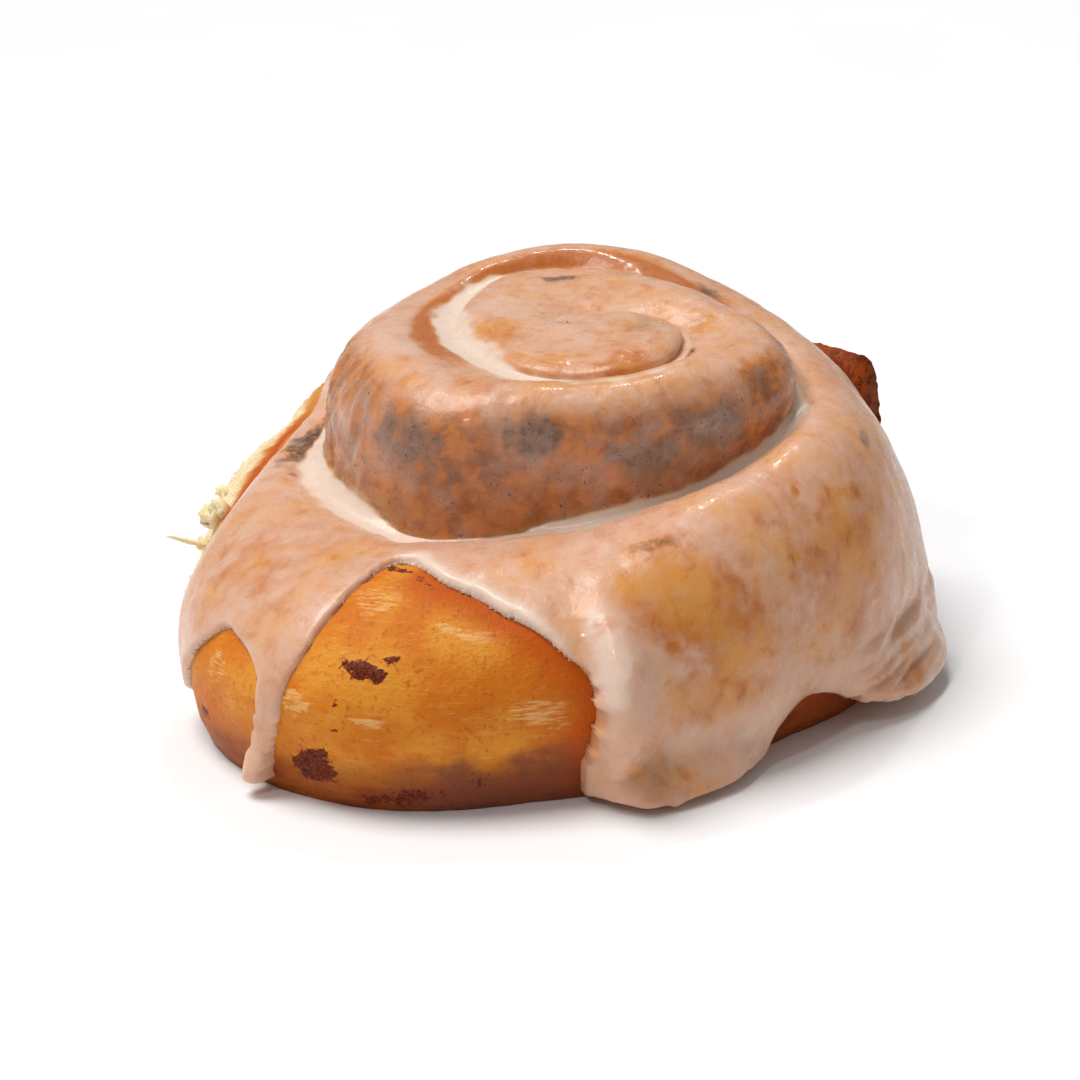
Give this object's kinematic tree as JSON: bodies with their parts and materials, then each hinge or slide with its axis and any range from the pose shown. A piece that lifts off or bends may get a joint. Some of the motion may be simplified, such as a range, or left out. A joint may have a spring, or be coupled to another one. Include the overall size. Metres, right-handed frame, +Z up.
{
  "type": "cinnamon roll",
  "caption": "Glazed cinnamon roll: a rolled strip of browned dough with a raised inner coil, dark cinnamon seams and thin icing that runs down to the base",
  "frame": {"origin": "on the ground plane, close to the middle of the base, 7 mm in front of the point under the eye of the swirl", "axes": "+Z up; the pictured front, with the bare crust, faces -Y; +X is the viewer's right"},
  "size_m": [0.1271, 0.1245, 0.0631],
  "materials": {
    "baked_dough": "browned yeast dough crust, soft and slightly glossy",
    "cinnamon_filling": "dark sticky cinnamon and sugar paste",
    "sugar_icing": "thin sugar glaze, glossy and partly see-through"
  },
  "bodies": {
    "root": {"dough": "baked_dough", "cinnamon_filling": "cinnamon_filling", "icing": "sugar_icing"}
  },
  "joints": []
}
